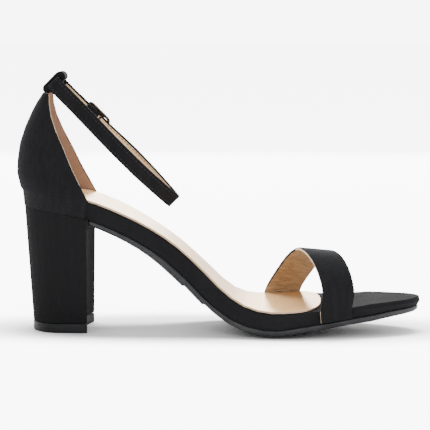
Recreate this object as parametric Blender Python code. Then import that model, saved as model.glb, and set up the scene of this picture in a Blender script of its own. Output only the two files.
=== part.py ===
"""Block heel sandal, left shoe, worked out from its side view. Metres, +Z up.

The origin is on the floor under the heel. +X points to the toe, -Y is the inner side of the foot.
"""
from collections import namedtuple
from math import atan2, cos, pi, radians, sin

import bmesh
import bpy
from mathutils import Vector

# Clearance between pieces that meet
GAP = 0.0003

# Sole
SOLE_LENGTH = 0.2240
SOLE_BACK = -0.0205
BALL_WIDTH = 0.0805
SEAT_HEIGHT = 0.0805
WRAP_HEIGHT = 0.0093
WRAP_LEAN = 0.0020
WRAP_SOFT = 0.0008
OUTSOLE_THICK = 0.0025
OUTSOLE_CROWN = 0.0025
OUTSOLE_FLAT = 0.0005
OUTSOLE_STEP = 0.0009
SOCK_THICK = 0.0011
SOCK_INSET = 0.0005
BALL_HEIGHT = WRAP_HEIGHT + GAP + OUTSOLE_THICK + OUTSOLE_CROWN - OUTSOLE_FLAT

# Reach of the round ends of the sole and of the sock lining
SEAT_ROUND = 0.0262
TOE_ROUND = 0.0280
SOCK_ROUND = 0.0130

# Heel
LIFT_THICK = 0.0052
LIFT_BACK = -0.0171
LIFT_LENGTH = 0.0328
LIFT_WIDTH = 0.0424
LIFT_ROUND = 0.0170
BREAST_HOLLOW = 0.0034
BREAST_X = 0.0164

# Counter
COUNTER_WALL = 0.0018
COUNTER_RISE = 0.0552
COUNTER_REACH = 0.0378

# Band over the toes
BAND_WIDTH = 0.0192
BAND_THICK = 0.0017
BAND_RISE = 0.0304
BAND_FRONT_DROP = 0.0030
BAND_TUCK = 0.9
BAND_COLUMNS = 5

# Ankle strap: a flat loop that hangs forward from the point of the counter
STRAP_WIDTH = 0.0085
STRAP_THICK = 0.0013
STRAP_SLOPE = radians(45.0)
LOOP_LENGTH = 0.0955
LOOP_WIDTH = 0.0335
LOOP_X = -0.0040
LOOP_Z = SEAT_HEIGHT + 0.0603
STRAP_TAIL = 0.0190
BEND_LEAD = 0.0012

# Tab on the counter that the strap runs through
TAB_WIDTH = 0.0140
TAB_THICK = 0.0014
TAB_LENGTH = 0.0146
TAB_DEPTH = 0.0052
TAB_FORWARD = 0.0004
TAB_FOLD = 0.1

# Buckle
BUCKLE_PLACE = 0.0297
BUCKLE_LENGTH = 0.0180
BUCKLE_HEIGHT = 0.0122
BUCKLE_WIRE = 0.0014
BUCKLE_CORNER = 0.0026
BUCKLE_TILT = radians(14.0)
PRONG_WIRE = 0.0010

# Cells across the sole pieces and steps round an end
ACROSS = 6
ROUND_STEPS = 7

Section = namedtuple("Section", "along rise centre half wrap tilt")
# Shares of the sole's length, of the rise from ball to seat, of the ball's width and of the wrap
SOLE = [
    Section(0.000, 1.000, 0.000, 0.327, 1.02, 0.00),
    Section(0.080, 0.965, 0.000, 0.328, 1.02, 0.00),
    Section(0.163, 0.914, 0.001, 0.329, 1.01, 0.00),
    Section(0.239, 0.818, 0.004, 0.331, 1.00, 0.05),
    Section(0.315, 0.693, -0.004, 0.324, 1.00, 0.20),
    Section(0.377, 0.560, 0.000, 0.336, 1.00, 0.31),
    Section(0.438, 0.383, 0.005, 0.363, 1.00, 0.38),
    Section(0.498, 0.183, 0.009, 0.401, 1.00, 0.39),
    Section(0.538, 0.083, 0.005, 0.431, 1.00, 0.33),
    Section(0.578, 0.026, 0.007, 0.474, 1.00, 0.17),
    Section(0.630, 0.000, -0.004, 0.498, 0.99, 0.03),
    Section(0.690, 0.012, -0.012, 0.496, 0.88, 0.00),
    Section(0.750, 0.028, -0.020, 0.456, 0.79, 0.00),
    Section(0.815, 0.040, -0.026, 0.396, 0.66, 0.00),
    Section(0.873, 0.049, -0.030, 0.334, 0.55, 0.00),
    Section(0.918, 0.056, -0.033, 0.284, 0.45, 0.00),
    Section(1.000, 0.072, -0.038, 0.236, 0.36, 0.00),
]

Tread = namedtuple("Tread", "along thick")
# Shares of the sole's length and of the outsole's thickness, before its two steps
TREAD = [
    Tread(0.15, 1.05),
    Tread(0.31, 1.20),
    Tread(0.39, 1.52),
    Tread(0.50, 1.50),
    Tread(0.55, 1.60),
    Tread(0.62, 1.72),
    Tread(0.75, 1.75),
    Tread(1.00, 1.30),
]
TREAD_STEPS = (0.441, 0.489)
STEP_RUN = 0.003

Quarter = namedtuple("Quarter", "height back front half")
# Shares of the counter's rise, of its reach and of the seat's half width; height is from the footbed
COUNTER = [
    Quarter(0.00, -0.035, 1.000, 1.000),
    Quarter(0.14, -0.085, 0.875, 0.965),
    Quarter(0.28, -0.078, 0.757, 0.880),
    Quarter(0.45, -0.040, 0.638, 0.770),
    Quarter(0.62, 0.040, 0.512, 0.628),
    Quarter(0.77, 0.132, 0.424, 0.485),
    Quarter(0.89, 0.220, 0.386, 0.378),
    Quarter(1.00, 0.320, 0.380, 0.310),
]

Arch = namedtuple("Arch", "number across height along width")
# Shares of the half width at that place, of the band's rise, of the sole's length and of the width
BAND = [
    Arch(0, -1.00, 0.00, 0.784, 0.900),
    Arch(1, -1.00, 0.28, 0.790, 0.905),
    Arch(2, -0.96, 0.52, 0.786, 0.925),
    Arch(3, -0.84, 0.77, 0.775, 0.955),
    Arch(4, -0.58, 0.95, 0.759, 0.990),
    Arch(5, -0.20, 1.01, 0.743, 1.020),
    Arch(6, 0.16, 0.97, 0.729, 1.045),
    Arch(7, 0.50, 0.78, 0.705, 1.065),
    Arch(8, 0.78, 0.48, 0.680, 1.080),
    Arch(9, 0.96, 0.18, 0.657, 1.090),
    Arch(10, 1.00, 0.00, 0.648, 1.090),
]

Loop = namedtuple("Loop", "along half")
# Shares of the strap loop's length and width
STRAP = [
    Loop(0.035, 0.300),
    Loop(0.110, 0.306),
    Loop(0.210, 0.318),
    Loop(0.330, 0.390),
    Loop(0.470, 0.472),
    Loop(0.600, 0.500),
    Loop(0.730, 0.465),
    Loop(0.830, 0.352),
    Loop(0.900, 0.240),
    Loop(0.960, 0.125),
]


def smooth(rows, field, at):
    """Value of one column at a place between the rows, by a smooth curve through them."""
    xs = [row[0] for row in rows]
    ys = [getattr(row, field) for row in rows]
    slopes = [(ys[i + 1] - ys[i]) / (xs[i + 1] - xs[i]) for i in range(len(xs) - 1)]
    if at <= xs[0]:
        return ys[0] + slopes[0] * (at - xs[0])
    if at >= xs[-1]:
        return ys[-1] + slopes[-1] * (at - xs[-1])
    i = max(k for k in range(len(xs) - 1) if xs[k] <= at)
    tangents = []
    for k in (i, i + 1):
        before, after = slopes[max(k - 1, 0)], slopes[min(k, len(slopes) - 1)]
        tangents.append((before + after) / 2)
    run = xs[i + 1] - xs[i]
    t = (at - xs[i]) / run
    return (ys[i] * (1 + 2 * t) * (1 - t) ** 2 + ys[i + 1] * t * t * (3 - 2 * t)
            + run * (tangents[0] * t * (1 - t) ** 2 - tangents[1] * t * t * (1 - t)))


def share_of(x):
    return (x - SOLE_BACK) / SOLE_LENGTH


def footbed_height(x):
    """Height of the wrapped edge's upper line."""
    return BALL_HEIGHT + (SEAT_HEIGHT - BALL_HEIGHT) * smooth(SOLE, "rise", share_of(x))


def on_sole(x, y, depth):
    """Point at a depth square to the footbed, which is lower on the outer side of the arch."""
    step = 0.0005
    half = BALL_WIDTH * smooth(SOLE, "half", share_of(x))
    centre = BALL_WIDTH * smooth(SOLE, "centre", share_of(x))
    tilt = WRAP_HEIGHT * smooth(SOLE, "tilt", share_of(x)) * (y - centre + half) / (2 * half)
    slope = (footbed_height(x + step) - footbed_height(x - step)) / (2 * step)
    down = Vector((slope, 0.0, -1.0)).normalized()
    return Vector((x, y, footbed_height(x) - tilt)) + down * depth


def slope_shift(x):
    """How far the wrap's lower line lies from its upper one, along the ground."""
    return on_sole(x, 0.0, wrap_at(x)).x - x


def wrap_at(x):
    return WRAP_HEIGHT * smooth(SOLE, "wrap", share_of(x))


def tread_at(x):
    """Thickness of the outsole at its edge."""
    share = share_of(x)
    steps = sum(1 for step in TREAD_STEPS if share > step)
    back = min(1.0, max(0.0, (share - TREAD_STEPS[1]) / 0.08))
    return OUTSOLE_THICK * smooth(TREAD, "thick", share) - OUTSOLE_STEP * (steps - 0.9 * back)


def round_end(distance, reach, power=2.0):
    """Share of the full width at a distance from a rounded end."""
    if distance >= reach:
        return 1.0
    return (1.0 - (1.0 - max(distance, 0.0) / reach) ** power) ** (1.0 / power)


def stations(start, end, start_round, end_round, spacing=0.0075, extra=()):
    """Places along the sole, closer together towards each rounded end."""
    places = []
    if start_round:
        turn = pi / 2 / ROUND_STEPS
        places += [start + start_round * (1 - cos(turn * (k + 0.4))) for k in range(ROUND_STEPS)]
        start += start_round
    first, last = start, end - end_round
    count = max(2, round((last - first) / spacing))
    places += [first + (last - first) * k / count for k in range(count + 1)]
    if end_round:
        turn = pi / 2 / ROUND_STEPS
        ends = [end - end_round * (1 - cos(turn * (k + 0.4))) for k in range(ROUND_STEPS)]
        places += reversed(ends)
    return sorted(set(places) | set(extra))


def sole_edges(x, inset, start, start_round, end, end_round, power=2.0):
    """Inner and outer side of the plan at x, moved in by the inset."""
    half = BALL_WIDTH * smooth(SOLE, "half", share_of(x)) - inset
    if start_round:
        half *= round_end(x - start, start_round)
    if end_round:
        half *= round_end(end - x, end_round, power)
    centre = BALL_WIDTH * smooth(SOLE, "centre", share_of(x))
    return centre - half, centre + half


def sole_grid(places, inset, depth, ends, crown=0.0, hollow=0.0):
    """Rows of points across the sole at a depth; ends is (start, round, end, round, power)."""
    start, start_round, end, end_round, power = ends
    rows = []
    for x in places:
        stretch = (x - start) / (end - start)
        moved = x + inset * (1 - 2 * stretch)
        inner, outer = sole_edges(x, inset, start, start_round, end, end_round, power)
        row = []
        for j in range(ACROSS + 1):
            t = j / ACROSS
            place = moved - hollow * 4 * t * (1 - t) * max(0.0, 1 - (x - start) / SEAT_ROUND)
            sag = crown * (1 - (2 * t - 1) ** 4) * (outer - inner) / BALL_WIDTH
            row.append(on_sole(place, inner + (outer - inner) * t, depth(x) + sag))
        rows.append(row)
    return rows


def layered(name, grids, smooth_angle=40.0):
    """Closed solid between the first and last grid; the ones between shape only its side."""
    mesh = bmesh.new()
    levels = []
    for number, grid in enumerate(grids):
        rows, columns = len(grid), len(grid[0])
        inside = number in (0, len(grids) - 1)
        points = {}
        for i in range(rows):
            for j in range(columns):
                if inside or i in (0, rows - 1) or j in (0, columns - 1):
                    points[i, j] = mesh.verts.new(grid[i][j])
        if inside:
            for i in range(rows - 1):
                for j in range(columns - 1):
                    mesh.faces.new([points[i, j], points[i + 1, j],
                                    points[i + 1, j + 1], points[i, j + 1]])
        rim = [points[i, 0] for i in range(rows)]
        rim += [points[rows - 1, j] for j in range(1, columns)]
        rim += [points[i, columns - 1] for i in range(rows - 2, -1, -1)]
        rim += [points[0, j] for j in range(columns - 2, 0, -1)]
        levels.append(rim)
    for upper, lower in zip(levels, levels[1:]):
        for k, point in enumerate(upper):
            after = (k + 1) % len(upper)
            mesh.faces.new([point, upper[after], lower[after], lower[k]])
    return finish(name, mesh, smooth_angle)


def finish(name, mesh, smooth_angle=40.0):
    """Make the object, with its faces out and round parts smooth."""
    bmesh.ops.recalc_face_normals(mesh, faces=mesh.faces)
    data = bpy.data.meshes.new(name)
    mesh.to_mesh(data)
    mesh.free()
    data.shade_smooth()
    data.set_sharp_from_angle(angle=radians(smooth_angle))
    piece = bpy.data.objects.new(name, data)
    bpy.context.scene.collection.objects.link(piece)
    return piece


def shell(name, grid, wall):
    """Closed solid of one wall on the outer side of a grid."""
    outer = []
    for i, row in enumerate(grid):
        moved = []
        for j, point in enumerate(row):
            along = grid[min(i + 1, len(grid) - 1)][j] - grid[max(i - 1, 0)][j]
            across = row[min(j + 1, len(row) - 1)] - row[max(j - 1, 0)]
            moved.append(point + along.cross(across).normalized() * wall)
        outer.append(moved)
    return layered(name, [grid, outer])


def sweep(name, path, section, closed=False):
    """Closed solid with one section, given as points at each place of a path."""
    mesh = bmesh.new()
    rings = [[mesh.verts.new(point) for point in section(k, path)] for k in range(len(path))]
    pairs = list(zip(rings, rings[1:]))
    if closed:
        pairs.append((rings[-1], rings[0]))
    for one, two in pairs:
        for k, point in enumerate(one):
            after = (k + 1) % len(one)
            mesh.faces.new([point, one[after], two[after], two[k]])
    if not closed:
        mesh.faces.new(rings[0])
        mesh.faces.new(rings[-1])
    return finish(name, mesh)


def tube(name, path, radius, closed=False, sides=10):
    """Round wire along a path in space."""
    def section(k, points):
        count = len(points)
        before = points[(k - 1) % count] if closed or k else points[0]
        after = points[(k + 1) % count] if closed or k < count - 1 else points[-1]
        ahead = (after - before).normalized()
        side = ahead.cross(UP_STRAP if abs(ahead.dot(UP_STRAP)) < 0.9 else OUT_STRAP).normalized()
        up = side.cross(ahead)
        turns = [2 * pi * s / sides for s in range(sides)]
        return [points[k] + (side * cos(a) + up * sin(a)) * radius for a in turns]
    return sweep(name, path, section, closed)


def curve_through(points, steps):
    """Smooth curve through a list of points."""
    out = []
    for k in range(len(points) - 1):
        a, b = points[max(k - 1, 0)], points[k]
        c, d = points[k + 1], points[min(k + 2, len(points) - 1)]
        for s in range(steps):
            t = s / steps
            out.append(0.5 * (2 * b + (c - a) * t + (2 * a - 5 * b + 4 * c - d) * t * t
                              + (3 * b - a - 3 * c + d) * t ** 3))
    return out + [points[-1]]


def make_midsole():
    ends = (SOLE_BACK, SEAT_ROUND, SOLE_BACK + SOLE_LENGTH, TOE_ROUND, 2.0)
    places = stations(ends[0], ends[2], SEAT_ROUND, TOE_ROUND)
    levels = [(WRAP_SOFT, lambda x: 0.0), (0.0, lambda x: WRAP_SOFT),
              (WRAP_LEAN / 2, lambda x: wrap_at(x) / 2), (WRAP_LEAN, wrap_at)]
    return layered("midsole", [sole_grid(places, inset, depth, ends) for inset, depth in levels])


def make_outsole():
    start = BREAST_X + GAP * 2 - slope_shift(BREAST_X)
    ends = (start, 0.0, SOLE_BACK + SOLE_LENGTH, TOE_ROUND, 2.0)
    steps = [SOLE_BACK + SOLE_LENGTH * (step + move) for step in TREAD_STEPS
             for move in (0.0, STEP_RUN)]
    places = stations(start, ends[2], 0.0, TOE_ROUND, extra=steps)
    levels = [(WRAP_LEAN, 0.0, 0.0), (WRAP_LEAN - 0.0006, 0.2, 0.0), (WRAP_LEAN - 0.0002, 0.7, 0.0),
              (WRAP_LEAN + 0.0008, 1.0, OUTSOLE_CROWN)]
    grids = []
    for inset, share, crown in levels:
        grid = sole_grid(places, inset, lambda x: wrap_at(x) + GAP + tread_at(x) * share,
                         ends, crown, BREAST_HOLLOW)
        grids.append(grid)
    for row in grids[-1]:
        for point in row:
            point.z = max(point.z, 0.0)
    return layered("outsole", grids)


def make_sock_lining():
    end = SOLE_BACK + SOLE_LENGTH * 0.752
    ends = (SOLE_BACK, SEAT_ROUND, end, SOCK_ROUND, 2.6)
    places = stations(ends[0], end, SEAT_ROUND, SOCK_ROUND)
    levels = [(SOCK_INSET, lambda x: -GAP), (SOCK_INSET, lambda x: -GAP - SOCK_THICK)]
    return layered("sock_lining", [sole_grid(places, inset, depth, ends) for inset, depth in levels])


def heel_grid(back, front, half, reach, hollow, surface):
    """Rows of a heel section: round at the back, hollow at the breast."""
    turn = pi / 2 / ROUND_STEPS
    places = [back + reach * (1 - cos(turn * (k + 0.4))) for k in range(ROUND_STEPS)]
    places += [back + reach, (back + reach + front) / 2, front]
    rows = []
    for x in places:
        width = half * round_end(x - back, reach)
        row = []
        for j in range(ACROSS + 1):
            t = j / ACROSS
            pull = hollow * 4 * t * (1 - t) * max(0.0, (x - back - reach) / (front - back - reach))
            row.append(surface(x - pull, width * (2 * t - 1)))
        rows.append(row)
    return rows


def make_top_lift():
    grids = [heel_grid(LIFT_BACK, LIFT_BACK + LIFT_LENGTH, LIFT_WIDTH / 2, LIFT_ROUND, BREAST_HOLLOW,
                       lambda x, y: Vector((x, y, z))) for z in (LIFT_THICK, 0.0)]
    return layered("top_lift", grids)


def make_heel_block():
    seat = SEAT_ROUND + COUNTER_WALL
    half = BALL_WIDTH * SOLE[0].half - WRAP_LEAN + GAP + COUNTER_WALL
    back = SOLE_BACK + WRAP_LEAN - COUNTER_WALL
    upper = heel_grid(back, BREAST_X - slope_shift(BREAST_X), half, seat, BREAST_HOLLOW,
                      lambda x, y: on_sole(x, y, wrap_at(x) + GAP))
    lower = heel_grid(LIFT_BACK, LIFT_BACK + LIFT_LENGTH, LIFT_WIDTH / 2, LIFT_ROUND, BREAST_HOLLOW,
                      lambda x, y: Vector((x, y, LIFT_THICK + GAP)))
    middle = [[a.lerp(b, 0.5) for a, b in zip(one, two)] for one, two in zip(upper, lower)]
    return layered("heel_block", [upper, middle, lower])


def quarter_places(back, front):
    """Places from the back to a front edge, closer together at the back."""
    return [back + (front - back) * (1 - cos(pi / 2 * k / 11)) for k in range(12)]


def row_beside_sole(share, inset):
    """Points round the seat, beside the wrapped edge at a share of its height."""
    end = SOLE_BACK + SOLE_LENGTH
    inner, outer = [], []
    for x in quarter_places(SOLE_BACK, SOLE_BACK + COUNTER_REACH):
        moved = x + inset * (1 - 2 * (x - SOLE_BACK) / SOLE_LENGTH)
        low, high = sole_edges(x, inset, SOLE_BACK, SEAT_ROUND, end, 0.0)
        inner.append(on_sole(moved, low, wrap_at(x) * share))
        outer.append(on_sole(moved, high, wrap_at(x) * share))
    return inner[::-1] + outer[1:]


def row_above_sole(quarter, out):
    """Points round the ankle at one height."""
    back = SOLE_BACK + COUNTER_REACH * quarter.back - out
    front = SOLE_BACK + COUNTER_REACH * quarter.front
    half = BALL_WIDTH * SOLE[0].half * quarter.half + out
    reach = min(SEAT_ROUND + out, (front - back) * 0.98)
    rise = COUNTER_RISE * quarter.height + GAP * 2
    inner, outer = [], []
    for x in quarter_places(back, front):
        y = half * round_end(x - back, reach)
        z = footbed_height(x) + rise
        inner.append(Vector((x, -y, z)))
        outer.append(Vector((x, y, z)))
    return inner[::-1] + outer[1:]


def make_counter():
    """Shell round the seat and up to its point, one wall thick."""
    grids = []
    for out in (GAP, GAP + COUNTER_WALL):
        rows = [row_beside_sole(1.0, WRAP_LEAN - out), row_beside_sole(0.5, WRAP_LEAN / 2 - out),
                row_beside_sole(WRAP_SOFT / WRAP_HEIGHT, -out)]
        rows += [row_above_sole(quarter, out) for quarter in COUNTER]
        grids.append(rows)
    return layered("counter", grids)


def make_vamp_band():
    """Band over the toes, its ends turned down beside the wrapped edge."""
    last = BAND[-1].number
    levels = [(0.0, BAND_TUCK)] + [(k / 2, 0.0) for k in range(2 * last + 1)] + [(last, BAND_TUCK)]
    grid = []
    for number, tuck in levels:
        row = Arch(number, *[smooth(BAND, field, number) for field in Arch._fields[1:]])
        points = []
        for column in range(BAND_COLUMNS + 1):
            share = column / BAND_COLUMNS
            x = SOLE_BACK + SOLE_LENGTH * row.along + (share - 0.5) * BAND_WIDTH * row.width
            half = BALL_WIDTH * smooth(SOLE, "half", share_of(x)) + GAP
            y = BALL_WIDTH * smooth(SOLE, "centre", share_of(x)) + row.across * half
            point = on_sole(x, y, tuck * wrap_at(x))
            point.z += (BAND_RISE - BAND_FRONT_DROP * share) * row.height
            points.append(point)
        grid.append(points)
    return shell("vamp_band", grid, -BAND_THICK)


# Directions of the strap's loop: forward and down along it, and up across the strap
ALONG_STRAP = Vector((cos(STRAP_SLOPE), 0.0, -sin(STRAP_SLOPE)))
UP_STRAP = Vector((sin(STRAP_SLOPE), 0.0, cos(STRAP_SLOPE)))
OUT_STRAP = Vector((0.0, 1.0, 0.0))


def in_loop(along, out, up=0.0):
    back = Vector((LOOP_X, 0.0, LOOP_Z))
    return back + ALONG_STRAP * along + OUT_STRAP * out + UP_STRAP * up


def loop_half(along):
    return LOOP_WIDTH * smooth(STRAP, "half", along / LOOP_LENGTH)


def buckle_point(forward, out, up=0.0):
    """Point given from the buckle's bar: forward along the strap, out from the foot, up across it."""
    step = 0.002
    lean = atan2(loop_half(BUCKLE_PLACE + step) - loop_half(BUCKLE_PLACE - step), 2 * step)
    along = forward * cos(lean) - out * sin(lean)
    across = forward * sin(lean) + out * cos(lean)
    return in_loop(BUCKLE_PLACE + along, loop_half(BUCKLE_PLACE) + across, up)


def loop_point(along, side):
    return in_loop(along, side * loop_half(along))


def beside_loop(along, layers):
    """Point on the outer side's line, some layers of the strap out from it."""
    return in_loop(along, loop_half(along) + layers * (STRAP_THICK + GAP))


BAR_TO_RAIL = (BUCKLE_LENGTH - BUCKLE_WIRE) / 2
LAYER = STRAP_THICK + GAP
EYE = BUCKLE_WIRE / 2 + GAP + STRAP_THICK / 2


def short_end():
    """The end folded round the bar, back to the tab."""
    rise = BAR_TO_RAIL * sin(BUCKLE_TILT)
    points = [buckle_point(-BAR_TO_RAIL, rise - EYE - 2.1 * LAYER),
              buckle_point(-BAR_TO_RAIL * 0.45, -EYE - LAYER * 0.35)]
    points += [buckle_point(EYE * sin(a), -EYE * cos(a)) for a in [pi * k / 6 for k in range(7)]]
    points += [buckle_point(-BAR_TO_RAIL * 0.45, EYE - LAYER * 0.75),
               buckle_point(-BAR_TO_RAIL, rise - EYE - LAYER),
               beside_loop(BUCKLE_PLACE - BUCKLE_LENGTH * 0.8, -0.55),
               beside_loop(BUCKLE_PLACE - BUCKLE_LENGTH * 1.1, -0.55)]
    return points


def back_bend():
    """Straight across the back, inside the tab, with a bend at each side."""
    flat = TAB_WIDTH / 2 + STRAP_THICK
    bend = LOOP_WIDTH * STRAP[0].half - flat
    points = [in_loop(bend + BEND_LEAD, flat + bend), in_loop(bend * 0.3, flat + bend * 0.72),
              in_loop(0.0, flat), in_loop(0.0, 0.0), in_loop(0.0, -flat),
              in_loop(bend * 0.3, -flat - bend * 0.72), in_loop(bend + BEND_LEAD, -flat - bend)]
    return points


def long_end():
    """Under the front rail, over the bar, under the rear rail, and the loose tail."""
    rise = BAR_TO_RAIL * sin(BUCKLE_TILT)
    over = EYE + LAYER + GAP
    points = [buckle_point(BAR_TO_RAIL * 1.9, -rise - EYE * 0.7), buckle_point(BAR_TO_RAIL, -rise - EYE)]
    points += [buckle_point(over * cos(a), over * sin(a)) for a in (-0.45, 0.15, 0.75, 1.35)]
    points += [buckle_point(-BAR_TO_RAIL * 0.45, over * 0.72), buckle_point(-BAR_TO_RAIL, rise - EYE)]
    points += [beside_loop(BUCKLE_PLACE - BUCKLE_LENGTH * 0.8, 0.5),
               beside_loop(BUCKLE_PLACE - STRAP_TAIL, 0.55)]
    return points


def make_ankle_strap():
    sides = [row.along * LOOP_LENGTH for row in STRAP[1:]]
    front = in_loop(LOOP_LENGTH, 0.0)
    outer = [place for place in reversed(sides) if place > BUCKLE_PLACE + BUCKLE_LENGTH]
    points = short_end() + back_bend() + [loop_point(place, -1) for place in sides]
    points += [front] + [loop_point(place, 1) for place in outer] + long_end()
    path = curve_through(points, 3)
    last = len(path) - 1

    def section(k, route):
        ahead = (route[min(k + 1, last)] - route[max(k - 1, 0)]).normalized()
        out = ahead.cross(UP_STRAP).normalized() * (STRAP_THICK / 2)
        tip = min(1.0, 0.55 + 0.15 * (last - k))
        up = UP_STRAP * (STRAP_WIDTH / 2 * tip)
        return [route[k] + out + up, route[k] - out + up, route[k] - out - up, route[k] + out - up]
    strap = sweep("ankle_strap", path, section)
    room = PRONG_WIRE / 2 + GAP
    cut_away(strap, tube("prong_room", prong_run(), room, sides=12))
    ring = [buckle_point(0, 0, s * (room + GAP)) for s in (-1, 1)]
    cut_away(strap, tube("prong_root_room", ring, EYE + STRAP_THICK / 2 + GAP * 0.6, sides=20))
    return strap


def cut_away(piece, cutter):
    """Take the cutter's shape out of the piece."""
    cutter.hide_render = True
    cutter.display_type = "WIRE"
    cut = piece.modifiers.new(cutter.name, "BOOLEAN")
    cut.operation = "DIFFERENCE"
    cut.object = cutter


def make_back_loop():
    """Flat ring round the strap, on the counter's point, its folded ends filled with cloth."""
    reach = (TAB_LENGTH - TAB_DEPTH) / 2
    turns = [(side, start + pi * k / 8) for side, start in ((1, 0.0), (-1, pi)) for k in range(9)]

    def around(radius, rise):
        return [in_loop(TAB_FORWARD + radius * cos(angle), 0.0,
                        side * reach + radius * rise * sin(angle)) for side, angle in turns]
    outer = around(TAB_DEPTH / 2, 1.0)
    inner = around(TAB_DEPTH / 2 - TAB_THICK, TAB_FOLD)
    side = OUT_STRAP * (TAB_WIDTH / 2)

    def section(k, route):
        return [outer[k] + side, inner[k] + side, inner[k] - side, outer[k] - side]
    return sweep("back_loop", outer, section, closed=True)


def frame_point(forward, up):
    """Point in the plane of the tilted frame."""
    return buckle_point(forward * cos(BUCKLE_TILT), -forward * sin(BUCKLE_TILT), up)


def make_buckle_frame():
    long_side = (BUCKLE_LENGTH - BUCKLE_WIRE) / 2 - BUCKLE_CORNER
    high_side = (BUCKLE_HEIGHT - BUCKLE_WIRE) / 2 - BUCKLE_CORNER
    path = []
    for quarter, (sx, sz) in enumerate(((1, 1), (-1, 1), (-1, -1), (1, -1))):
        for k in range(5):
            a = pi / 2 * (quarter + k / 4)
            path.append(frame_point(sx * long_side + BUCKLE_CORNER * cos(a),
                                    sz * high_side + BUCKLE_CORNER * sin(a)))
    frame = tube("buckle_frame", path, BUCKLE_WIRE / 2, closed=True)
    reach = (BUCKLE_HEIGHT - BUCKLE_WIRE) / 2
    bar = tube("centre_bar", [frame_point(0.0, -reach), frame_point(0.0, reach)], BUCKLE_WIRE * 0.42)
    bar.hide_render = True
    bar.display_type = "WIRE"
    join = frame.modifiers.new("centre bar", "BOOLEAN")
    join.operation = "UNION"
    join.object = bar
    return frame


PRONG_TURN = BUCKLE_WIRE / 2 + GAP + PRONG_WIRE / 2


def prong_run():
    """From the bar through the strap and onto the front rail."""
    rail = BAR_TO_RAIL * cos(BUCKLE_TILT)
    drop = PRONG_TURN - BAR_TO_RAIL * sin(BUCKLE_TILT)
    return [buckle_point(PRONG_TURN * 0.8, PRONG_TURN * 0.9),
            buckle_point(rail * 0.6, PRONG_TURN * 0.35),
            buckle_point(rail, drop), buckle_point(rail + BUCKLE_WIRE, drop - GAP)]


def make_buckle_prong():
    """Bent three quarters round the bar, then straight on."""
    hook = [-pi * 0.7 - pi * 0.15 * k for k in range(6)]
    root = [buckle_point(PRONG_TURN * cos(a), PRONG_TURN * sin(a)) for a in hook]
    return tube("buckle_prong", curve_through(root + prong_run(), 3), PRONG_WIRE / 2, sides=8)


def paint(piece, colour, roughness, metallic=0.0):
    """Give the piece its own material."""
    material = bpy.data.materials.new(piece.name)
    material.use_nodes = True
    shader = material.node_tree.nodes["Principled BSDF"]
    shader.inputs["Base Color"].default_value = (*colour, 1.0)
    shader.inputs["Roughness"].default_value = roughness
    shader.inputs["Metallic"].default_value = metallic
    piece.data.materials.append(material)


for old in list(bpy.data.objects):
    bpy.data.objects.remove(old)

SUEDE = (0.016, 0.016, 0.018)
RUBBER = (0.040, 0.040, 0.043)
paint(make_midsole(), SUEDE, 0.9)
paint(make_outsole(), RUBBER, 0.5)
paint(make_sock_lining(), (0.75, 0.58, 0.40), 0.25)
paint(make_heel_block(), SUEDE, 0.9)
paint(make_top_lift(), RUBBER, 0.5)
paint(make_counter(), SUEDE, 0.9)
paint(make_back_loop(), SUEDE, 0.9)
paint(make_vamp_band(), SUEDE, 0.9)
paint(make_ankle_strap(), SUEDE, 0.9)
paint(make_buckle_frame(), (0.10, 0.075, 0.05), 0.35, 1.0)
paint(make_buckle_prong(), (0.10, 0.075, 0.05), 0.35, 1.0)
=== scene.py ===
from math import cos, radians, sin

import bmesh
import bpy
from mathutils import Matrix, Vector
from mathutils.bvhtree import BVHTree


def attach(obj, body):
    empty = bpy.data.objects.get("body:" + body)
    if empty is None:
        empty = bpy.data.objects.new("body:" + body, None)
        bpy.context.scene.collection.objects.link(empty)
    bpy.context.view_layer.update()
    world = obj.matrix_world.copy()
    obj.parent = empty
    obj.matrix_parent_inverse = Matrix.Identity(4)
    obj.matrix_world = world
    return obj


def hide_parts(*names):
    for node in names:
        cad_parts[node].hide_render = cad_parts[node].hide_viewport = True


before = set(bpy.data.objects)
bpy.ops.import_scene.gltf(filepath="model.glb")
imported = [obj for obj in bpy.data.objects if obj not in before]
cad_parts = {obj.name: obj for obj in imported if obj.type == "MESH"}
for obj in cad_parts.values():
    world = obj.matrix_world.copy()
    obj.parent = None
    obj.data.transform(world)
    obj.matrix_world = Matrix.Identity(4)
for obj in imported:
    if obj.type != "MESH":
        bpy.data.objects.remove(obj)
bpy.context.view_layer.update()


# The footbed board. A stiffened board runs from seat to toe, shaped to the foot. It is wrapped in
# black suede cloth, which is glued over its edge and turned under before the outsole goes on.
SUEDE_BLACK = (0.0072, 0.0072, 0.0079, 1.0)
SUEDE_WORN = (0.0108, 0.0108, 0.0115, 1.0)
BOARD_ROUNDING = 0.0006
RUBBER_ROUNDING = 0.0003
HEEL_ROUNDING = 0.0003
LIFT_ROUNDING = 0.00035
SOCK_ROUNDING = 0.00035
UPPER_ROUNDING = 0.00042
TAB_ROUNDING = 0.0004
BRONZE_ROUNDING = 0.00015
STRAP_ROUNDING = 0.00028
BARE_TOE = 0.162
TOE_TIP = 0.2034
TOE_PADDING = 0.0013
FULL_AFTER = 1 / 3
BLUNT_TIP = 0.012
PADDED_FROM = 0.25
PADDED_OVER = 0.3
UPRIGHT = 0.4
TOP_DOWN_TO = -0.1
TIP_DROP = 0.0006
TOP_FORWARD = 0.0003
SIDE_FORWARD = 0.0009
FOOTBED_UP = 0.55
WELD = 0.000002
CUT_WELD = 0.00002
FLAT_WITHIN = radians(30.0)
SQUARE_WITHIN = radians(50.0)


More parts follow.
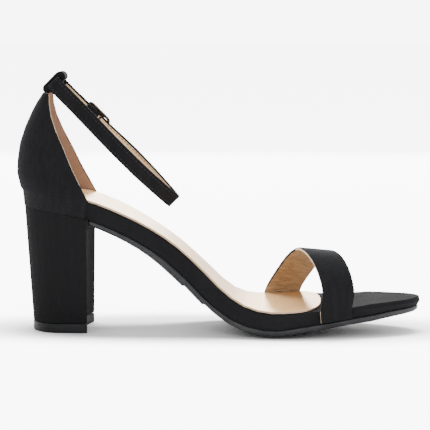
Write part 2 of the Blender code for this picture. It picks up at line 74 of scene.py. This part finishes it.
def place(tree, kind, inputs=None, **settings):
    """New shader node with its settings made and its sockets set or linked."""
    node = tree.nodes.new(kind)
    for name, value in settings.items():
        setattr(node, name, value)
    for name, value in (inputs or {}).items():
        if isinstance(value, bpy.types.NodeSocket):
            tree.links.new(value, node.inputs[name])
        else:
            node.inputs[name].default_value = value
    return node


def effect(name, inputs, outputs):
    """Empty node group, with its inputs' values and its outputs' kinds."""
    group = bpy.data.node_groups.new(name, "ShaderNodeTree")
    for label, value in inputs.items():
        socket = group.interface.new_socket(label, in_out="INPUT", socket_type="NodeSocketFloat")
        socket.default_value = value
    for label in outputs:
        group.interface.new_socket(label, in_out="OUTPUT", socket_type="NodeSocketFloat")
    return group, group.nodes.new("NodeGroupInput"), group.nodes.new("NodeGroupOutput")


def stretched_noise(tree, coordinates, stretch, scale, detail, roughness=0.55):
    """Noise stretched along the axes, as on rubbed nap or creased leather."""
    mapping = place(tree, "ShaderNodeMapping", {"Vector": coordinates, "Scale": stretch})
    return place(tree, "ShaderNodeTexNoise", {"Vector": mapping.outputs["Vector"], "Scale": scale,
                                              "Detail": detail, "Roughness": roughness})


FIRST_COLOUR, SECOND_COLOUR, MIXED_COLOUR = 6, 7, 2
EVEN = (1.0, 1.0, 1.0)


def ranged(tree, value, low, high, to_low=0.0, to_high=1.0):
    node = place(tree, "ShaderNodeMapRange", {"Value": value, "From Min": low, "From Max": high,
                                              "To Min": to_low, "To Max": to_high})
    return node.outputs["Result"]


def sum_of(tree, first, second, kind="ADD"):
    """Sum, or another result of two values, each a number or a socket."""
    node = place(tree, "ShaderNodeMath", operation=kind)
    for socket, value in zip(node.inputs, (first, second)):
        if isinstance(value, bpy.types.NodeSocket):
            tree.links.new(value, socket)
        else:
            socket.default_value = value
    return node.outputs["Value"]


def new_material(name):
    """New material, with its node tree and its main shader."""
    material = bpy.data.materials.new(name)
    material.use_nodes = True
    return material, material.node_tree, material.node_tree.nodes["Principled BSDF"]


def mixed(tree, factor, first, second):
    """Colour between first and second, each a value or a socket."""
    mix = place(tree, "ShaderNodeMix", {"Factor": factor}, data_type="RGBA")
    for number, colour in ((FIRST_COLOUR, first), (SECOND_COLOUR, second)):
        if isinstance(colour, bpy.types.NodeSocket):
            tree.links.new(colour, mix.inputs[number])
        else:
            mix.inputs[number].default_value = colour
    return mix.outputs[MIXED_COLOUR]


def bumped(tree, shader, strength, depth, height):
    """Small relief in the material, up to depth in metres."""
    bump = place(tree, "ShaderNodeBump", {"Strength": strength, "Distance": depth,
                                          "Height": height})
    tree.links.new(bump.outputs["Normal"], shader.inputs["Normal"])


def suede_nap():
    """Short brushed nap: fine pile, soft patches where it lies the other way, brushed streaks."""
    tree, given, made = effect("suede nap", {"Streaks": 0.5, "Patches": 0.5}, ("Shade", "Pile"))
    at = place(tree, "ShaderNodeTexCoord").outputs["Object"]
    pile = stretched_noise(tree, at, (1.0, 1.0, 0.55), scale=2600.0, detail=3.0, roughness=0.7)
    patch = stretched_noise(tree, at, (1.0, 1.0, 0.7), scale=75.0, detail=4.0)
    streak = stretched_noise(tree, at, (1.0, 1.0, 0.035), scale=520.0, detail=3.0)
    patches = sum_of(tree, ranged(tree, patch.outputs["Fac"], 0.40, 0.68),
                     given.outputs["Patches"], "MULTIPLY")
    streaks = sum_of(tree, ranged(tree, streak.outputs["Fac"], 0.42, 0.66),
                     given.outputs["Streaks"], "MULTIPLY")
    fuzz = ranged(tree, pile.outputs["Fac"], 0.35, 0.70, 0.0, 0.35)
    shade = sum_of(tree, sum_of(tree, patches, streaks), fuzz)
    tree.links.new(shade, made.inputs["Shade"])
    tree.links.new(pile.outputs["Fac"], made.inputs["Pile"])
    return tree


SUEDE_NAP = suede_nap()


def suede(name, dark, light, streaks, patches, sheen=0.05):
    """Suede cloth, with its nap brushed up and down."""
    material, tree, shader = new_material(name)
    nap = place(tree, "ShaderNodeGroup", node_tree=SUEDE_NAP)
    nap.inputs["Streaks"].default_value = streaks
    nap.inputs["Patches"].default_value = patches
    tree.links.new(mixed(tree, nap.outputs["Shade"], dark, light), shader.inputs["Base Color"])
    rough = ranged(tree, nap.outputs["Pile"], 0.3, 0.7, 0.82, 0.98)
    tree.links.new(rough, shader.inputs["Roughness"])
    bumped(tree, shader, 0.35, 0.0003, nap.outputs["Pile"])
    shader.inputs["Specular IOR Level"].default_value = 0.06
    shader.inputs["Sheen Weight"].default_value = sheen
    shader.inputs["Sheen Roughness"].default_value = 0.45
    shader.inputs["Sheen Tint"].default_value = (0.60, 0.60, 0.63, 1.0)
    return material


def dressed(node, name, materials, rounding, sharp=38.0, side_of=None, segments=2, mould=None,
            rings=(), cuts=()):
    """Smooth copy of a CAD node with rounded edges, standing for it; side_of picks materials.
    Mould gives a point's place after the cloth or rubber is drawn over the CAD form. The rings
    run round the lining, each with its width and its material's number. The cuts are planes,
    each a point and a direction, that give a line of edges to change material at."""
    mesh = bmesh.new()
    mesh.from_mesh(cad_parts[node].data)
    bmesh.ops.remove_doubles(mesh, verts=mesh.verts, dist=WELD)
    bmesh.ops.join_triangles(mesh, faces=mesh.faces, angle_face_threshold=FLAT_WITHIN,
                             angle_shape_threshold=SQUARE_WITHIN)
    edges = [edge for edge in mesh.edges
             if len(edge.link_faces) == 2 and edge.calc_face_angle() > radians(sharp)]
    for vert in mesh.verts if mould else ():
        vert.co = mould(vert.co, vert.normal)
    bmesh.ops.bevel(mesh, geom=edges, offset=rounding, offset_type="OFFSET", affect="EDGES",
                    segments=segments, profile=0.5, material=-1, clamp_overlap=True)
    for point, across in cuts:
        bmesh.ops.bisect_plane(mesh, geom=mesh.verts[:] + mesh.edges[:] + mesh.faces[:],
                               dist=CUT_WELD, plane_co=point, plane_no=across)
    for face in mesh.faces:
        face.smooth = True
        if side_of:
            face.material_index = side_of(face.calc_center_median(), face.normal)
    for width, number in rings:
        mesh.normal_update()
        inner = [face for face in mesh.faces if face.material_index == 1]
        ring = bmesh.ops.inset_region(mesh, faces=inner, thickness=width, depth=0.0,
                                      use_even_offset=False, use_boundary=True)
        for face in ring["faces"]:
            face.material_index = number
            face.smooth = True
    data = bpy.data.meshes.new(name)
    mesh.to_mesh(data)
    mesh.free()
    piece = bpy.data.objects.new(name, data)
    bpy.context.scene.collection.objects.link(piece)
    for material in materials:
        data.materials.append(material)
    shading = piece.modifiers.new("even shading", "WEIGHTED_NORMAL")
    shading.keep_sharp = True
    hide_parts(node)
    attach(piece, "root")
    return piece


WRAP_SUEDE = suede("wrapped edge suede", SUEDE_BLACK, SUEDE_WORN, streaks=0.15, patches=0.35)
# Lighter suede for the upward-facing footbed: painted light on the top, with more random mottle.
FOOTBED_PAINTED_LIGHT_SUEDE = suede("toe footbed suede painted light", SUEDE_BLACK, (0.0150, 0.0150, 0.0145, 1.0),
                      streaks=0.1, patches=0.8, sheen=0.02)


def board_side(at, normal):
    """Footbed cloth in front of the sock: more mottled, and painted lighter on top as light."""
    return 1 if normal.z > FOOTBED_UP else 0


def on_toe(at, start):
    """How far a point is on to the toe's end, from nothing at start to one at the tip."""
    return min(max((at.x - start) / (TOE_TIP - start), 0.0), 1.0)


def bare_share(at):
    """Nothing under the band, and one from a third of the way along the bare toe."""
    return min(on_toe(at, BARE_TOE) / FULL_AFTER, 1.0)


def padded_toe(at, normal):
    """The cloth over the bare toe is padded: higher on top, fuller and blunter at the tip."""
    blunt = on_toe(at, TOE_TIP - BLUNT_TIP)
    faces_up = min(max((normal.z - PADDED_FROM) / PADDED_OVER, 0.0), 1.0)
    rise = TOE_PADDING * bare_share(at) * faces_up
    drop = TIP_DROP * blunt if abs(normal.z) < UPRIGHT else 0.0
    forward = TOP_FORWARD if normal.z > TOP_DOWN_TO else SIDE_FORWARD
    return Vector((at.x + forward * blunt, at.y, at.z + rise - drop))


board = dressed("midsole", "wrapped_board", (WRAP_SUEDE, FOOTBED_PAINTED_LIGHT_SUEDE), BOARD_ROUNDING,
                side_of=board_side, mould=padded_toe)


# The outsole. A thin moulded rubber sole, dark grey, with two small steps in its side at the waist
# where it gets thicker. It is glued under the wrapped board and up against the heel's breast.
RUBBER_GREY = (0.0066, 0.0069, 0.0076, 1.0)
RUBBER_DUSTY = (0.0190, 0.0198, 0.0212, 1.0)
TREAD_PITCH = 0.0030
LIFT_PITCH = 0.0040
WAVE_IN_METRES = 0.314
GLUE_LINE = 0.0002
TOE_RUBBER = 0.0008
RUBBER_FORWARD = 0.0003
RUBBER_TIP = 0.010
TURNED = 0.2


def rubber(name, dark, light, tread, gloss=0.3):
    """Moulded rubber, a little dusty, with fine ribs across where it meets the ground."""
    material, tree, shader = new_material(name)
    at = place(tree, "ShaderNodeTexCoord").outputs["Object"]
    cloud = stretched_noise(tree, at, EVEN, scale=120.0, detail=5.0)
    speck = stretched_noise(tree, at, EVEN, scale=1900.0, detail=2.0)
    dust = ranged(tree, cloud.outputs["Fac"], 0.35, 0.70)
    tree.links.new(mixed(tree, dust, dark, light), shader.inputs["Base Color"])
    rough = ranged(tree, speck.outputs["Fac"], 0.3, 0.7, 0.42, 0.62)
    tree.links.new(rough, shader.inputs["Roughness"])
    wave = place(tree, "ShaderNodeTexWave", {"Vector": at, "Scale": WAVE_IN_METRES / tread,
                                             "Distortion": 0.0}, bands_direction="X")
    facing = place(tree, "ShaderNodeSeparateXYZ",
                   {"Vector": place(tree, "ShaderNodeNewGeometry").outputs["Normal"]})
    under = ranged(tree, facing.outputs["Z"], -0.985, -0.997)
    ribs = sum_of(tree, sum_of(tree, wave.outputs["Fac"], under, "MULTIPLY"), 0.5, "MULTIPLY")
    height = sum_of(tree, ribs, sum_of(tree, speck.outputs["Fac"], 0.3, "MULTIPLY"))
    bumped(tree, shader, 0.4, 0.0002, height)
    shader.inputs["Specular IOR Level"].default_value = gloss
    return material


SOLE_RUBBER = rubber("outsole rubber", RUBBER_GREY, RUBBER_DUSTY, TREAD_PITCH)


def pressed_on(at, normal):
    """The upper face is pressed against what it is glued to, so hardly a line shows."""
    return at + Vector((0.0, 0.0, GLUE_LINE)) if normal.z > TURNED else at


def thick_toe(at, normal):
    """The rubber is moulded a little thicker under the toe and further forward at its tip."""
    at = pressed_on(at, normal)
    drop = TOE_RUBBER * bare_share(at) if normal.z < -TURNED else 0.0
    return Vector((at.x + RUBBER_FORWARD * on_toe(at, TOE_TIP - RUBBER_TIP), at.y, at.z - drop))


outsole = dressed("outsole", "rubber_outsole", (SOLE_RUBBER,), RUBBER_ROUNDING, sharp=50.0,
                  mould=thick_toe)


# The heel. A wooden or plastic block covered in the same black suede, its nap brushed down, with
# one edge glued under the seat. It is hollowed at the breast and screwed on from inside.
BREAST_FORWARD = 0.6
HEEL_SUEDE = suede("heel cover suede", SUEDE_BLACK, (0.0088, 0.0088, 0.0092, 1.0),
                   streaks=0.7, patches=0.2, sheen=0.02)
# Darker suede for the heel's forward-facing breast: painted shade.
BREAST_PAINTED_SHADE_SUEDE = suede("heel breast painted shade suede", (0.0026, 0.0026, 0.0029, 1.0),
                     (0.0042, 0.0042, 0.0045, 1.0), streaks=0.5, patches=0.2, sheen=0.0)


def front_painted_shade_side(at, normal):
    """The forward-facing front of the heel or the lift, given a darker material: painted shade."""
    return 1 if normal.x > BREAST_FORWARD else 0


heel = dressed("heel_block", "covered_heel", (HEEL_SUEDE, BREAST_PAINTED_SHADE_SUEDE), HEEL_ROUNDING,
               segments=3, side_of=front_painted_shade_side, mould=pressed_on)


# The top lift. A replaceable hard rubber pad the size of the heel's foot, pinned and glued
# under it, with its edge left as cut.
LIFT_RUBBER = rubber("top lift rubber", (0.0045, 0.0047, 0.0053, 1.0),
                     (0.0090, 0.0094, 0.0104, 1.0), LIFT_PITCH, gloss=0.2)
# Darker rubber for the lift's forward-facing front: painted shade.
LIFT_FRONT_PAINTED_SHADE = rubber("top lift front painted shade", (0.0012, 0.0013, 0.0015, 1.0),
                     (0.0030, 0.0031, 0.0035, 1.0), LIFT_PITCH, gloss=0.03)
lift = dressed("top_lift", "rubber_top_lift", (LIFT_RUBBER, LIFT_FRONT_PAINTED_SHADE), LIFT_ROUNDING,
               side_of=front_painted_shade_side)


# The sock. A thin, glossy, beige leather lining glued over the board from the seat to under the
# band, where its corners are rounded. Its cut edge is darker.
SOCK_CREAM = (0.86, 0.56, 0.27, 1.0)
SOCK_TAN = (0.80, 0.50, 0.22, 1.0)
SOCK_UP = 0.6
SOCK_TINTED_SHINE = 0.5


def leather_grain():
    """Fine pores and slow colour changes of a thin lining leather."""
    tree, _, made = effect("leather grain", {}, ("Tone", "Pores"))
    at = place(tree, "ShaderNodeTexCoord").outputs["Object"]
    tone = stretched_noise(tree, at, EVEN, scale=55.0, detail=5.0)
    cell = place(tree, "ShaderNodeTexVoronoi", {"Vector": at, "Scale": 1500.0}, feature="F1")
    tree.links.new(ranged(tree, tone.outputs["Fac"], 0.32, 0.70), made.inputs["Tone"])
    tree.links.new(cell.outputs["Distance"], made.inputs["Pores"])
    return tree


LEATHER_GRAIN = leather_grain()
CREASE_PAINTED_SHADE = 0.45


def lining(name, light, dark, rough, gloss, creases=0.0):
    """Lining leather, smooth or with creases that run front to back, painted darker as shade."""
    material, tree, shader = new_material(name)
    grain = place(tree, "ShaderNodeGroup", node_tree=LEATHER_GRAIN)
    colour = mixed(tree, grain.outputs["Tone"], light, dark)
    height = sum_of(tree, grain.outputs["Pores"], 0.25, "MULTIPLY")
    if creases:
        at = place(tree, "ShaderNodeTexCoord").outputs["Object"]
        fold = stretched_noise(tree, at, (0.22, 1.0, 1.0), scale=330.0, detail=2.5, roughness=0.5)
        ridge = ranged(tree, fold.outputs["Fac"], 0.44, 0.52)
        valley = ranged(tree, fold.outputs["Fac"], 0.60, 0.52)
        crease = sum_of(tree, ridge, valley, "MULTIPLY")
        height = sum_of(tree, height, sum_of(tree, crease, -creases, "MULTIPLY"))
        # The creases are darkened in colour as well as in relief: painted shade in the folds.
        colour = mixed(tree, sum_of(tree, crease, CREASE_PAINTED_SHADE, "MULTIPLY"), colour,
                       tuple(c * CREASE_PAINTED_SHADE for c in dark[:3]) + (1.0,))
    tree.links.new(colour, shader.inputs["Base Color"])
    uneven = ranged(tree, grain.outputs["Pores"], 0.1, 0.7, rough - 0.04, rough + 0.06)
    tree.links.new(uneven, shader.inputs["Roughness"])
    bumped(tree, shader, 0.7 if creases else 0.25, 0.0003, height)
    shader.inputs["Specular IOR Level"].default_value = gloss
    shader.inputs["Specular Tint"].default_value = (1.0, 0.85, 0.66, 1.0)
    return material


def sock_side(at, normal):
    return 1 if normal.z > SOCK_UP else 0


SOCK_LEATHER = lining("sock leather", SOCK_CREAM, SOCK_TAN, rough=0.14, gloss=0.10)
SOCK_EDGE = lining("sock cut edge", (0.42, 0.30, 0.21, 1.0), (0.34, 0.24, 0.17, 1.0),
                   rough=0.5, gloss=0.2)
SOCK_SHADER = SOCK_LEATHER.node_tree.nodes["Principled BSDF"]
SOCK_SHADER.inputs["Metallic"].default_value = SOCK_TINTED_SHINE
sock = dressed("sock_lining", "glossy_sock", (SOCK_EDGE, SOCK_LEATHER), SOCK_ROUNDING,
               side_of=sock_side)


# The counter. Black suede outside and pinkish tan lining inside, stiffened between, lasted over
# the seat and rising to a point at the back. The lining's folded edge shows as a pale line.
EDGE_CREAM = (0.62, 0.45, 0.30, 1.0)
COUNTER_TAN = (0.350, 0.222, 0.165, 1.0)
COUNTER_BROWN = (0.290, 0.178, 0.130, 1.0)
COUNTER_FOOT = Vector((0.012, 0.0, 0.0))
COUNTER_TOP = Vector((0.0, 0.0, 0.0))
COUNTER_SEAT = 0.085
COUNTER_RISE = 0.050
LINING_IN = -0.62
UNDERSIDE = -0.5
SUEDE_TURN = 0.0004
COUNTER_PALE = 0.0003
UPPER_SUEDE = suede("upper suede", SUEDE_BLACK, SUEDE_WORN, streaks=0.55, patches=0.35)
COUNTER_LINING = lining("counter lining", COUNTER_TAN, COUNTER_BROWN, rough=0.55, gloss=0.3)
PALE_EDGE = lining("pale cut edge", EDGE_CREAM, (0.50, 0.34, 0.21, 1.0), rough=0.6, gloss=0.3)


def by_side(outwards, near_edge=None):
    """Suede outside and lining inside; near_edge is how far out the pale edge shows near us."""
    def pick(at, normal):
        way = outwards(at).normalized().dot(normal)
        if way < LINING_IN:
            return 1
        pale = near_edge is not None and at.y < 0.0 and way < near_edge and normal.z > UNDERSIDE
        return 2 if pale else 0
    return pick


def out_of_heel(at):
    up = min(1.0, max(0.0, (at.z - COUNTER_SEAT) / COUNTER_RISE))
    away = at - COUNTER_FOOT.lerp(COUNTER_TOP, up)
    return Vector((away.x, away.y, 0.0))


counter = dressed("counter", "counter_upper", (UPPER_SUEDE, COUNTER_LINING, PALE_EDGE),
                  UPPER_ROUNDING, side_of=by_side(out_of_heel, 0.0),
                  rings=((SUEDE_TURN, 0), (COUNTER_PALE, 2)))


# The band. Black suede over a light tan lining, lasted over the ball and turned under the wrapped
# edge on both sides. The lining is thin, and creases where the band bends.
BAND_ROLL_TOP = 0.030
BAND_ROLL_FOOT = 0.016
BAND_PALE = 0.0004
ROLL_INNER = -0.3
ROLL_OUTER = 0.35
NEAR_LEG = 0.003
REARWARD = -0.2
BAND_MIDDLE = Vector((0.0, 0.0, 0.018))
BAND_LINING = lining("band lining", (0.400, 0.280, 0.175, 1.0), (0.320, 0.215, 0.130, 1.0),
                     rough=0.42, gloss=0.4, creases=1.6)


def out_of_foot(at):
    away = at - BAND_MIDDLE
    return Vector((0.0, away.y, max(away.z, 0.0)))


def band_side(at, normal):
    """The lining is rolled over the rear edge of the near leg."""
    way = out_of_foot(at).normalized().dot(normal)
    if way < LINING_IN:
        return 1
    shown = ROLL_INNER if BAND_ROLL_FOOT < at.z < BAND_ROLL_TOP else ROLL_OUTER
    return 2 if at.y < NEAR_LEG and normal.x < REARWARD and way < shown else 0


ROLLED_EDGE = lining("rolled edge", (0.74, 0.60, 0.44, 1.0), (0.66, 0.52, 0.37, 1.0),
                     rough=0.5, gloss=0.3)
band = dressed("vamp_band", "band_upper", (UPPER_SUEDE, BAND_LINING, ROLLED_EDGE),
               UPPER_ROUNDING, side_of=band_side, rings=((SUEDE_TURN, 0), (BAND_PALE, 2)))


# The tab. A narrow loop of black suede sewn to the counter's point. It is folded over the back of
# the ankle strap and holds it up.
TAB_SUEDE = suede("tab suede", SUEDE_BLACK, SUEDE_WORN, streaks=0.3, patches=0.6)
TAB_FULL = 0.0007
TAB_SIDES = 0.8


def middle_of(node):
    """Middle of a CAD node's box."""
    corners = [Vector(corner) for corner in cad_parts[node].bound_box]
    return sum(corners, Vector()) / len(corners)


TAB_MIDDLE = middle_of("back_loop")


def full_tab(at, normal):
    """The folded cloth is fuller outside than the plain ring; its inside stays as it is."""
    outside = (at - TAB_MIDDLE).dot(normal) > 0 and abs(normal.y) < TAB_SIDES
    return at + Vector((normal.x, 0.0, max(normal.z, 0.0))) * TAB_FULL if outside else at


tab = dressed("back_loop", "strap_tab", (TAB_SUEDE,), TAB_ROUNDING, segments=4, mould=full_tab)


# The buckle. A small frame with a bar across its middle and a prong on the bar, cast and plated
# dark bronze. The strap's short end is folded round the bar.
def bronze(name, dark, light):
    """Dark plated metal, brighter where it rubs."""
    material, tree, shader = new_material(name)
    at = place(tree, "ShaderNodeTexCoord").outputs["Object"]
    cloud = stretched_noise(tree, at, EVEN, scale=700.0, detail=4.0)
    worn = ranged(tree, cloud.outputs["Fac"], 0.4, 0.7)
    tree.links.new(mixed(tree, worn, dark, light), shader.inputs["Base Color"])
    tree.links.new(ranged(tree, cloud.outputs["Fac"], 0.3, 0.7, 0.24, 0.40),
                   shader.inputs["Roughness"])
    shader.inputs["Metallic"].default_value = 1.0
    return material


BUCKLE_BRONZE = bronze("dark bronze", (0.030, 0.022, 0.016, 1.0), (0.110, 0.080, 0.056, 1.0))
BUCKLE_FULL = 0.00015
BUCKLE_SNUG = 0.00025
BUCKLE_HALF = 0.003
BUCKLE_MIDDLE = middle_of("buckle_frame")
STRAP_SLOPE = radians(45.0)
ALONG_STRAP = Vector((cos(STRAP_SLOPE), 0.0, -sin(STRAP_SLOPE)))
UP_STRAP = Vector((sin(STRAP_SLOPE), 0.0, cos(STRAP_SLOPE)))


def snug_frame(at, normal):
    """The cast frame is a little thicker than its wire and lies close over the strap's edges."""
    off = (at - BUCKLE_MIDDLE).dot(UP_STRAP) / BUCKLE_HALF
    return at + normal * BUCKLE_FULL - UP_STRAP * BUCKLE_SNUG * min(max(off, -1.0), 1.0)


buckle = dressed("buckle_frame", "bronze_buckle", (BUCKLE_BRONZE,), BRONZE_ROUNDING, sharp=60.0,
                 mould=snug_frame)
prong = dressed("buckle_prong", "bronze_prong", (BUCKLE_BRONZE,), BRONZE_ROUNDING,
                sharp=60.0)


# The ankle strap. A narrow strip of black suede with a beige lining sewn to it near both edges.
# It runs round the ankle through the tab, and its long end passes through the buckle.
STRAP_BACK = Vector((-0.0040, 0.0, 0.1408))
LOOP_LENGTH = 0.0955
STRAP_WIDTH = 0.0085
STRAP_BLACK = 0.00110
STRAP_PALE = 0.00140
FOLD_START = 0.0213
FOLD_END = 0.0306
BEHIND_TAB = 0.0050
TURN_BACK = 0.012
TURN_FRONT = 0.030
STRAP_LINING = lining("strap lining", (0.700, 0.520, 0.310, 1.0), (0.600, 0.430, 0.240, 1.0),
                      rough=0.5, gloss=0.4)


def out_of_ankle(at):
    along = (at - STRAP_BACK).dot(ALONG_STRAP)
    middle = STRAP_BACK + ALONG_STRAP * min(max(along, TURN_BACK), LOOP_LENGTH - TURN_FRONT)
    away = at - middle
    return away - UP_STRAP * away.dot(UP_STRAP)


def strap_side(at, normal):
    """Suede shows on the inner face too, at the buckle's fold and inside the tab."""
    along = (at - STRAP_BACK).dot(ALONG_STRAP)
    if along < BEHIND_TAB or at.y > 0 and FOLD_START < along < FOLD_END:
        return 0
    side = by_side(out_of_ankle)(at, normal)
    edge = STRAP_WIDTH / 2 - abs((at - STRAP_BACK).dot(UP_STRAP))
    return side if side != 1 or edge > STRAP_PALE else 2 if edge > STRAP_BLACK else 0


strap = dressed("ankle_strap", "ankle_strap_sewn", (UPPER_SUEDE, STRAP_LINING, PALE_EDGE),
                STRAP_ROUNDING, side_of=strap_side,
                cuts=[(STRAP_BACK + UP_STRAP * s * (STRAP_WIDTH / 2 - inset), UP_STRAP)
                      for s in (-1, 1) for inset in (STRAP_BLACK, STRAP_PALE)])


# The stitching. Brown thread holds the strap's lining near both edges; black thread shows on the
# outside. Each stitch lies half sunk between its two holes.
STITCH_LENGTH = 0.0015
STITCH_PITCH = 0.0023
THREAD_RADIUS = 0.00030
STITCH_INSET = 0.0017
STITCH_RIDGE = 0.00005
SEAM_POINTS = 240
SEAM_START = radians(-172.0)
LINING_SEAM_END = radians(146.0)
OUTER_SEAM_END = radians(140.0)
SEAM_MIDDLE = 0.55
OUTSIDE_REACH = 0.09


def thread(name, dark, light):
    """Twisted sewing thread."""
    material, tree, shader = new_material(name)
    at = place(tree, "ShaderNodeTexCoord").outputs["Object"]
    ply = stretched_noise(tree, at, EVEN, scale=2400.0, detail=2.0)
    turn = ranged(tree, ply.outputs["Fac"], 0.35, 0.65)
    tree.links.new(mixed(tree, turn, dark, light), shader.inputs["Base Color"])
    shader.inputs["Roughness"].default_value = 0.7
    return material


BROWN_THREAD = thread("brown thread", (0.070, 0.036, 0.018, 1.0), (0.120, 0.066, 0.034, 1.0))
BLACK_THREAD = thread("black thread", (0.0020, 0.0020, 0.0024, 1.0),
                      (0.0055, 0.0055, 0.0060, 1.0))


def seam(name, points, material, ridge):
    """A row of stitches along points on a surface, each point with the surface's normal."""
    mesh = bmesh.new()
    travelled, due = 0.0, STITCH_PITCH / 2
    for (one, normal), (two, _) in zip(points, points[1:]):
        step = (two - one).length
        while step > 0.0 and due <= travelled + step:
            at = one.lerp(two, (due - travelled) / step)
            made = bmesh.ops.create_uvsphere(mesh, u_segments=6, v_segments=5, radius=1.0)
            along = (two - one).normalized()
            side = along.cross(normal).normalized()
            up = side.cross(along)
            for vert in made["verts"]:
                shape = vert.co.copy()
                vert.co = (at + up * ridge + along * shape.z * STITCH_LENGTH / 2
                           + side * shape.x * THREAD_RADIUS + up * shape.y * THREAD_RADIUS)
            due += STITCH_PITCH
        travelled += step
    bmesh.ops.recalc_face_normals(mesh, faces=mesh.faces)
    for face in mesh.faces:
        face.smooth = True
    data = bpy.data.meshes.new(name)
    mesh.to_mesh(data)
    mesh.free()
    data.materials.append(material)
    piece = bpy.data.objects.new(name, data)
    bpy.context.scene.collection.objects.link(piece)
    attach(piece, "root")
    return piece


def surface_of(piece):
    """A piece's faces, to be hit by rays."""
    mesh = bmesh.new()
    mesh.from_mesh(piece.data)
    tree = BVHTree.FromBMesh(mesh)
    mesh.free()
    return tree


def strap_seam(name, up, start, end, outside, material):
    """Along the strap at one height across it, found from the middle of the loop outwards."""
    surface = surface_of(strap)
    points = []
    for k in range(SEAM_POINTS + 1):
        turn = start + (end - start) * k / SEAM_POINTS
        middle = STRAP_BACK + ALONG_STRAP * LOOP_LENGTH * SEAM_MIDDLE + UP_STRAP * up
        way = ALONG_STRAP * cos(turn) + Vector((0.0, 1.0, 0.0)) * sin(turn)
        origin = middle + way * OUTSIDE_REACH if outside else middle
        hit, normal, _, _ = surface.ray_cast(origin, -way if outside else way)
        if hit is not None:
            points.append((hit, normal))
    return seam(name, points, material, STITCH_RIDGE)


UP_EDGE = STRAP_WIDTH / 2 - STITCH_INSET
for edge, up in (("upper", UP_EDGE), ("lower", -UP_EDGE)):
    strap_seam(f"lining_stitches_{edge}", up, SEAM_START, LINING_SEAM_END, False, BROWN_THREAD)
    strap_seam(f"outer_stitches_{edge}", up, SEAM_START, OUTER_SEAM_END, True, BLACK_THREAD)


# The floor, the lights and the camera. A pale studio sweep under wide soft lights, seen level
# from the inner side of the shoe.
SHADOW_REACH = 0.060
SHADOW_LENGTH = 0.17
SHADOW_MIDDLE = 0.09
PAPER_GLOW = 6.0
SKY_LIGHT = 1.0
SKY_SEEN = 7.5
FLOOR_DEPTH = 0.0001
LAMPS = (
    ("overhead", (0.11, 0.28, 1.30), (0.10, 0.0, 0.0), 0.7, 0.5, 46.0),
    ("front", (0.20, -1.60, 0.90), (0.09, 0.0, 0.06), 1.0, 1.0, 9.0),
    ("behind", (0.06, 1.30, 0.40), (0.09, 0.0, 0.05), 1.4, 0.6, 18.0),
)


def pale_paper():
    """White paper; seen past the shoe's soft shadow it is lit up to plain white."""
    material, tree, shader = new_material("pale paper")
    shader.inputs["Base Color"].default_value = (0.92, 0.92, 0.93, 1.0)
    shader.inputs["Roughness"].default_value = 0.9
    shader.inputs["Specular IOR Level"].default_value = 0.1
    at = place(tree, "ShaderNodeTexCoord").outputs["Object"]
    mapping = place(tree, "ShaderNodeMapping",
                    {"Vector": at, "Location": (-SHADOW_MIDDLE / SHADOW_LENGTH, 0.0, 0.0),
                     "Scale": (1 / SHADOW_LENGTH, 1 / SHADOW_REACH, 1.0)})
    far = place(tree, "ShaderNodeVectorMath", {0: mapping.outputs["Vector"]}, operation="LENGTH")
    past = place(tree, "ShaderNodeMapRange", {"Value": far.outputs["Value"], "From Min": 0.6,
                                              "From Max": 1.2}, interpolation_type="SMOOTHSTEP")
    seen = place(tree, "ShaderNodeLightPath").outputs["Is Camera Ray"]
    shown = sum_of(tree, past.outputs["Result"], seen, "MULTIPLY")
    glow = sum_of(tree, shown, PAPER_GLOW, "MULTIPLY")
    shader.inputs["Emission Color"].default_value = (1.0, 1.0, 1.0, 1.0)
    tree.links.new(glow, shader.inputs["Emission Strength"])
    return material


def studio():
    """The floor, the sky and the lamps."""
    mesh = bmesh.new()
    bmesh.ops.create_grid(mesh, x_segments=4, y_segments=4, size=8.0)
    data = bpy.data.meshes.new("floor")
    mesh.to_mesh(data)
    mesh.free()
    floor = bpy.data.objects.new("floor", data)
    bpy.context.scene.collection.objects.link(floor)
    data.materials.append(pale_paper())
    floor.location.z = -FLOOR_DEPTH
    world = bpy.data.worlds.new("studio")
    world.use_nodes = True
    tree = world.node_tree
    air = tree.nodes["Background"]
    air.inputs["Color"].default_value = (1.0, 1.0, 1.0, 1.0)
    seen = place(tree, "ShaderNodeLightPath").outputs["Is Camera Ray"]
    tree.links.new(ranged(tree, seen, 0.0, 1.0, SKY_LIGHT, SKY_SEEN), air.inputs["Strength"])
    bpy.context.scene.world = world
    for name, at, aim, wide, high, power in LAMPS:
        lamp = bpy.data.lights.new(name, "AREA")
        lamp.shape = "RECTANGLE"
        lamp.size = wide
        lamp.size_y = high
        lamp.energy = power
        light = bpy.data.objects.new(name, lamp)
        light.location = at
        light.rotation_euler = (Vector(aim) - Vector(at)).to_track_quat("-Z", "Y").to_euler()
        light.visible_camera = False
        light.visible_glossy = name != "overhead"
        bpy.context.scene.collection.objects.link(light)


def camera(at, aim, lens):
    """The one camera, with its lens in millimetres on 36 mm film."""
    data = bpy.data.cameras.new("camera")
    data.lens = lens
    data.sensor_width = 36.0
    view = bpy.data.objects.new("camera", data)
    view.location = at
    view.rotation_euler = (Vector(aim) - Vector(at)).to_track_quat("-Z", "Y").to_euler()
    bpy.context.scene.collection.objects.link(view)
    bpy.context.scene.camera = view


studio()
camera((0.132, -1.150, 0.1855), (0.0870, 0.0, 0.0652), 170.0)
